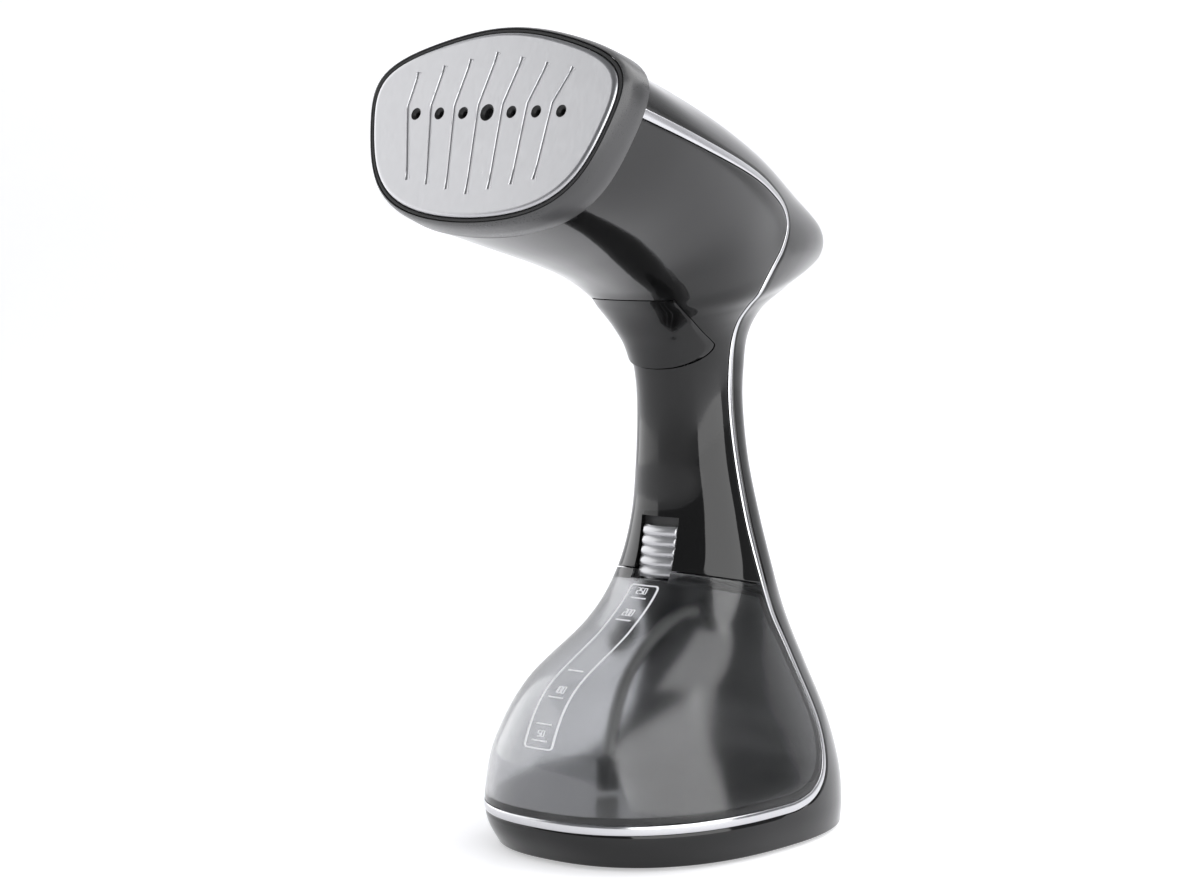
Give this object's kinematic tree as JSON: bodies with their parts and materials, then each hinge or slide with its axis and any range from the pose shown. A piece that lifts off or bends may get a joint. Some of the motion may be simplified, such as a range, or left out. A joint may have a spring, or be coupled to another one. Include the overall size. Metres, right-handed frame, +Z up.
{
  "type": "garment steamer",
  "caption": "Handheld garment steamer: wide tilted soleplate, waisted handle, oval base and a clear tank that slides off forwards.",
  "frame": {"origin": "middle of the rubber foot's flat underside, on the surface the steamer stands on", "axes": "+Z up, -Y forwards where the soleplate faces, X across"},
  "size_m": [0.116, 0.2001, 0.2904],
  "materials": {
    "gloss_black": "high gloss moulded",
    "collar_grey": "satin heat-resistant plastic",
    "satin_plate": "fine satin",
    "bright_trim": "bright plated",
    "silver": "silver lacquer",
    "smoky_clear": "smoky clear plastic",
    "rubber": "matt",
    "pale_rubber": "translucent silicone",
    "matt_black": "fine matt",
    "cast_aluminium": "as cast",
    "steel": "plain",
    "copper": "enamelled winding",
    "board_green": "solder mask",
    "component_blue": "plain",
    "white_plastic": "plain",
    "red_lens": "clear tinted"
  },
  "bodies": {
    "case": {"front_shell": "gloss_black", "rear_shell": "gloss_black", "front_collar": "collar_grey", "soleplate": "satin_plate", "trim_strip": "bright_trim", "rubber_foot": "rubber", "soleplate_seal": "rubber", "cord_gland": "rubber", "lower_hose": "pale_rubber", "upper_hose": "pale_rubber", "tank_bay_liner": "matt_black", "bottom_cover": "matt_black", "slider_track": "matt_black", "power_switch": "matt_black", "water_socket": "matt_black", "board_capacitor": "matt_black", "boiler_block": "cast_aluminium", "boiler_cover": "cast_aluminium", "boiler_inlet": "steel", "thermostat": "steel", "trigger_pin": "steel", "slider_spring": "steel", "trigger_spring": "steel", "pump_coil": "copper", "pump_body": "white_plastic", "thermal_fuse": "white_plastic", "trigger_switch": "white_plastic", "circuit_board": "board_green", "board_relay": "component_blue", "indicator_lens": "red_lens", "base_screw_1": "steel", "boiler_screw_1": "steel", "base_screw_2": "steel", "boiler_screw_2": "steel", "base_screw_3": "steel", "boiler_screw_3": "steel", "base_screw_4": "steel", "boiler_screw_4": "steel"},
    "water_tank_body": {"water_tank": "smoky_clear", "tank_outlet": "matt_black", "suction_tube": "pale_rubber", "tube_filter": "matt_black"},
    "plug_body": {"filler_plug": "rubber"},
    "slider_body": {"release_slider": "silver"},
    "trigger_body": {"steam_trigger": "gloss_black"},
    "button_body": {"power_button": "silver"}
  },
  "joints": [
    {"name": "tank_slide", "type": "slide", "parent": "case", "child": "water_tank_body", "axis": [0, -1, 0], "range_m": [0, 0.115]},
    {"name": "plug_pull", "type": "slide", "parent": "water_tank_body", "child": "plug_body", "axis": [-1, 0, 0], "range_m": [0, 0.012]},
    {"name": "release_slide", "type": "slide", "parent": "case", "child": "slider_body", "axis": [0, 0, 1], "range_m": [0, 0.003], "stiffness_N_per_m": 300, "springref_m": -0.001, "deforming": ["slider_spring"]},
    {"name": "trigger_hinge", "type": "hinge", "parent": "case", "child": "trigger_body", "pos_m": [0, -0.02, 0.192], "axis": [1, 0, 0], "range_deg": [0, 5], "stiffness_Nm_per_rad": 1, "springref_deg": -2.86, "deforming": ["trigger_spring"]},
    {"name": "power_press", "type": "slide", "parent": "case", "child": "button_body", "axis": [0, -1, 0], "range_m": [0, 0.0015], "stiffness_N_per_m": 400, "springref_m": -0.001}
  ]
}
